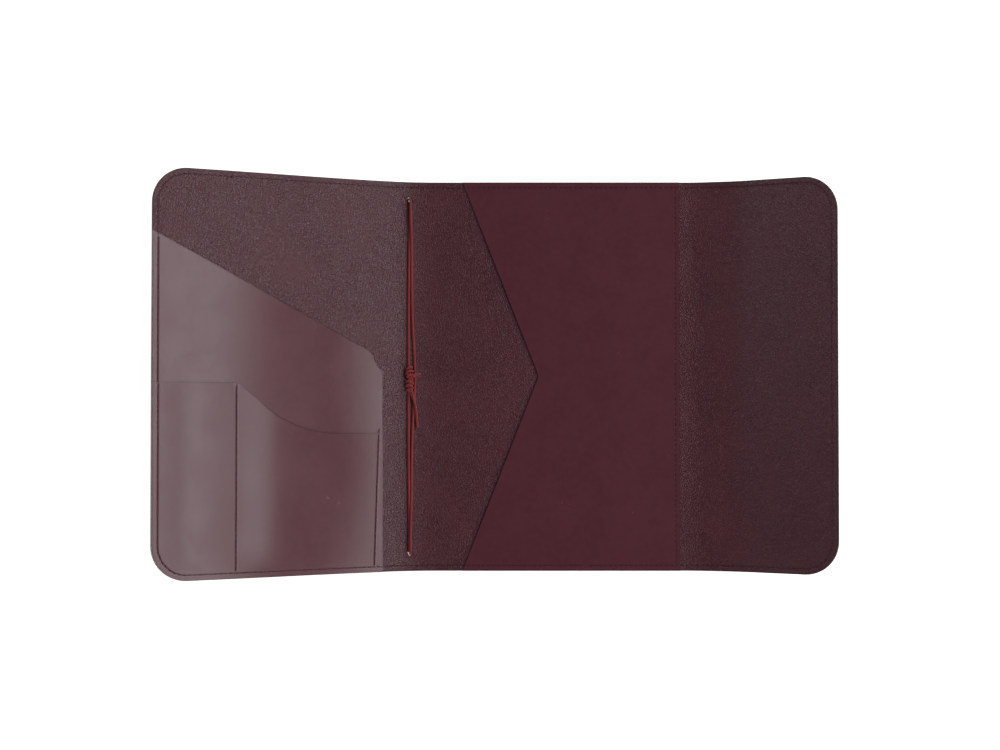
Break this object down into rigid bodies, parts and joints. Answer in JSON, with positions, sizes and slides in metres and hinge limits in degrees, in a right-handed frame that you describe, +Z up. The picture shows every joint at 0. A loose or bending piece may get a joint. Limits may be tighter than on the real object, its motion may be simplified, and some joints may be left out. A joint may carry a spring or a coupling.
{
  "type": "portfolio case",
  "caption": "Wrap-around leather portfolio case lying open, with front pockets, a notebook pocket on the back panel, an elastic cord at the spine and a fold-over flap.",
  "frame": {"origin": "on the surface the case lies on, under the middle of the open case's box", "axes": "+X from the front panel to the wrap flap, +Y to the head of the case, +Z up, away from the surface it lies on"},
  "size_m": [0.3856, 0.23, 0.0747],
  "materials": {
    "outer_leather": "smooth satin burgundy leather with dark edges",
    "lining_leather": "finely grained matte burgundy lining leather",
    "pocket_leather": "smooth satin burgundy leather",
    "thread": "waxed dark red sewing thread",
    "elastic": "braided red elastic cord"
  },
  "bodies": {
    "back_panel": {"outer_cover_back": "outer_leather", "lining_back": "lining_leather", "notebook_pocket": "pocket_leather", "notebook_pocket_side_thread": "thread", "edge_thread_back_head": "thread", "edge_thread_back_foot": "thread"},
    "spine": {"outer_cover_spine": "outer_leather", "lining_spine": "lining_leather", "edge_thread_spine_head": "thread", "edge_thread_spine_foot": "thread", "elastic_cord": "elastic", "elastic_knot": "elastic", "elastic_tail_short": "elastic", "elastic_tail_long": "elastic"},
    "front_panel": {"outer_cover_front": "outer_leather", "lining_front": "lining_leather", "document_pocket": "pocket_leather", "card_pocket": "pocket_leather", "card_divider_thread": "thread", "front_pocket_side_thread": "thread", "edge_thread_front": "thread"},
    "fore_edge": {"outer_cover_fore_edge": "outer_leather", "lining_fore_edge": "lining_leather", "edge_thread_fore_edge_head": "thread", "edge_thread_fore_edge_foot": "thread"},
    "flap": {"outer_cover_flap": "outer_leather", "lining_flap": "lining_leather", "edge_thread_flap": "thread"}
  },
  "joints": [
    {"name": "back_crease", "type": "hinge", "parent": "back_panel", "child": "spine", "pos_m": [-0.04673, 0, 0.0019], "axis": [0, 1, 0], "range_deg": [-13.7, 76.3]},
    {"name": "front_crease", "type": "hinge", "parent": "spine", "child": "front_panel", "pos_m": [-0.06228, 0, 0.00569], "axis": [0, 1, 0], "range_deg": [-13.7, 76.3]},
    {"name": "fore_edge_crease", "type": "hinge", "parent": "back_panel", "child": "fore_edge", "pos_m": [0.11527, 0, 0.0019], "axis": [0, -1, 0], "range_deg": [-14.5, 79.2]},
    {"name": "flap_crease", "type": "hinge", "parent": "fore_edge", "child": "flap", "pos_m": [0.14025, 0, 0.00836], "axis": [0, -1, 0], "range_deg": [-14.5, 79.2]}
  ]
}
